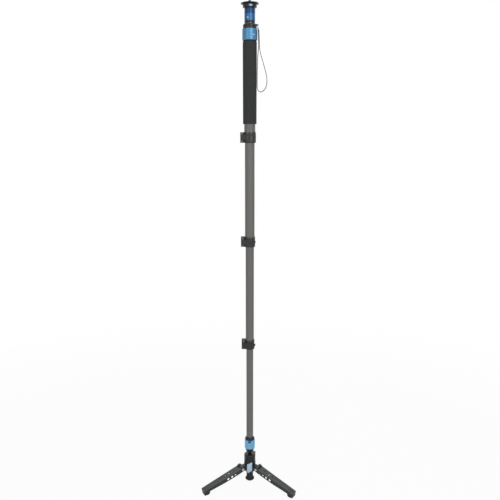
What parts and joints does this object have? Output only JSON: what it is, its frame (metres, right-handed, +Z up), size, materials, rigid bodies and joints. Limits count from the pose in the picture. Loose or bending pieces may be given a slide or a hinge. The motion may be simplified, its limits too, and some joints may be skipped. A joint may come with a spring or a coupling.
{
  "type": "camera monopod",
  "caption": "Telescopic carbon tube camera monopod with flip locks, foam grip, panning head plate, wrist strap and a fold-up three-leg stand on a ball joint.",
  "frame": {"origin": "on the floor under the axis of the pole, between the foot pads", "axes": "+Z up along the pole, +X to the right as seen from the front, -Y towards the front where the lock levers are"},
  "size_m": [0.3304, 0.2873, 1.6497],
  "materials": {
    "black_satin": "satin black anodised and painted alloy",
    "hub_black": "satin black",
    "leg_black": "satin charcoal black",
    "blue_anodised": "blue anodised, turned",
    "blue_ring": "light blue anodised, satin",
    "blue_inlay": "pale blue, satin gloss",
    "carbon": "clear-coated carbon weave",
    "foam": "fine closed-cell foam",
    "rubber": "moulded rubber",
    "lock_black": "fine textured glass-filled nylon",
    "lever_black": "smooth black",
    "steel": "bright turned steel",
    "bolt_steel": "grey zinc plated",
    "silver_trim": "bright satin",
    "bearing": "acetal",
    "webbing": "black woven webbing",
    "tab": "moulded black",
    "spring_steel": "plain"
  },
  "bodies": {
    "hub": {"hub": "hub_black", "hub_inlays": "blue_inlay", "stud_bush": "bearing", "ball_foot": "rubber", "foot_stud": "bolt_steel", "hinge_pins": "steel"},
    "leg_1": {"leg_1": "leg_black", "foot_pad_1": "rubber"},
    "leg_2": {"leg_2": "leg_black", "foot_pad_2": "rubber"},
    "leg_3": {"leg_3": "leg_black", "foot_pad_3": "rubber"},
    "button_1": {"leg_button_1": "blue_ring"},
    "button_2": {"leg_button_2": "blue_ring"},
    "button_3": {"leg_button_3": "blue_ring"},
    "ball_stem": {"ball_stud": "black_satin", "stud_nut": "bolt_steel"},
    "ball_seats": {"lower_seat": "bearing", "upper_seat": "bearing", "seat_spring": "spring_steel"},
    "base_section": {"seat_housing": "black_satin", "base_collar": "black_satin", "tube_4": "carbon", "tube_bush_4": "bearing"},
    "tilt_lock": {"tilt_lock_ring": "blue_ring"},
    "section_3": {"tube_3": "carbon", "tube_bush_3": "bearing", "lock_collar_3": "lock_black", "lock_bolts_3": "bolt_steel", "lock_shim_3": "bearing"},
    "lever_3": {"lock_lever_3": "lever_black"},
    "section_2": {"tube_2": "carbon", "tube_bush_2": "bearing", "lock_collar_2": "lock_black", "lock_bolts_2": "bolt_steel", "lock_shim_2": "bearing"},
    "lever_2": {"lock_lever_2": "lever_black"},
    "section_1": {"tube_1": "carbon", "lock_collar_1": "lock_black", "lock_bolts_1": "bolt_steel", "lock_shim_1": "bearing", "grip": "foam", "head_collar": "black_satin", "head_plug": "black_satin", "collar_trim_ring": "silver_trim", "head_spindle": "bolt_steel"},
    "lever_1": {"lock_lever_1": "lever_black"},
    "pan_lock": {"pan_lock_ring": "blue_ring"},
    "head": {"blue_neck": "blue_anodised", "neck_band": "black_satin", "spindle_bush": "bearing", "plate_frame": "black_satin", "top_plate": "black_satin", "plate_pad": "rubber", "plate_screws": "bolt_steel"},
    "stud": {"camera_stud": "steel", "stud_wheel": "blue_ring"},
    "strap": {"strap_ring": "steel", "strap_tab": "tab", "wrist_strap": "webbing"}
  },
  "joints": [
    {"name": "leg_1_fold", "type": "hinge", "parent": "hub", "child": "leg_1", "pos_m": [0, 0.035, 0.0645], "axis": [1, 0, 0], "range_deg": [0, 109]},
    {"name": "button_1_press", "type": "slide", "parent": "leg_1", "child": "button_1", "axis": [-1, 0, 0], "range_m": [0, 0.002], "stiffness_N_per_m": 400, "springref_m": -0.001},
    {"name": "leg_2_fold", "type": "hinge", "parent": "hub", "child": "leg_2", "pos_m": [-0.03031, -0.0175, 0.0645], "axis": [-0.5, 0.866, 0], "range_deg": [0, 109]},
    {"name": "button_2_press", "type": "slide", "parent": "leg_2", "child": "button_2", "axis": [0.5, -0.866, 0], "range_m": [0, 0.002], "stiffness_N_per_m": 400, "springref_m": -0.001},
    {"name": "leg_3_fold", "type": "hinge", "parent": "hub", "child": "leg_3", "pos_m": [0.03031, -0.0175, 0.0645], "axis": [-0.5, -0.866, 0], "range_deg": [0, 109]},
    {"name": "button_3_press", "type": "slide", "parent": "leg_3", "child": "button_3", "axis": [0.5, 0.866, 0], "range_m": [0, 0.002], "stiffness_N_per_m": 400, "springref_m": -0.001},
    {"name": "base_pan", "type": "hinge", "parent": "hub", "child": "ball_stem", "pos_m": [0, 0, 0.1], "axis": [0, 0, 1], "continuous": true},
    {"name": "base_tilt", "type": "hinge", "parent": "ball_stem", "child": "ball_seats", "pos_m": [0, 0, 0.137], "axis": [-1, 0, 0], "range_deg": [-20, 20]},
    {"name": "pole_pan", "type": "hinge", "parent": "ball_seats", "child": "base_section", "pos_m": [0, 0, 0.137], "axis": [0, 0, 1], "continuous": true},
    {"name": "tilt_lock_turn", "type": "hinge", "parent": "base_section", "child": "tilt_lock", "pos_m": [0, 0, 0.1512], "axis": [0, 0, 1], "range_deg": [0, 90]},
    {"name": "section_3_slide", "type": "slide", "parent": "base_section", "child": "section_3", "axis": [0, 0, 1], "range_m": [-0.3253, 0]},
    {"name": "section_2_slide", "type": "slide", "parent": "section_3", "child": "section_2", "axis": [0, 0, 1], "range_m": [-0.323, 0]},
    {"name": "section_1_slide", "type": "slide", "parent": "section_2", "child": "section_1", "axis": [0, 0, 1], "range_m": [-0.307, 0]},
    {"name": "lever_3_open", "type": "hinge", "parent": "section_3", "child": "lever_3", "pos_m": [-0.0202, -0.0119, 0.523], "axis": [0, 0, -1], "range_deg": [0, 120]},
    {"name": "lever_2_open", "type": "hinge", "parent": "section_2", "child": "lever_2", "pos_m": [-0.0222, -0.0119, 0.883], "axis": [0, 0, -1], "range_deg": [0, 120]},
    {"name": "lever_1_open", "type": "hinge", "parent": "section_1", "child": "lever_1", "pos_m": [-0.0244, -0.0119, 1.227], "axis": [0, 0, -1], "range_deg": [0, 120]},
    {"name": "pan_lock_turn", "type": "hinge", "parent": "section_1", "child": "pan_lock", "pos_m": [0, 0, 1.5462], "axis": [0, 0, 1], "range_deg": [0, 90]},
    {"name": "head_pan", "type": "hinge", "parent": "section_1", "child": "head", "pos_m": [0, 0, 1.585], "axis": [0, 0, 1], "continuous": true},
    {"name": "stud_turn", "type": "hinge", "parent": "head", "child": "stud", "pos_m": [0, 0, 1.632], "axis": [0, 0, 1], "continuous": true},
    {"name": "strap_swing", "type": "hinge", "parent": "section_1", "child": "strap", "pos_m": [0.0256, 0, 1.5756], "axis": [0, -1, 0], "range_deg": [0, 100]}
  ]
}
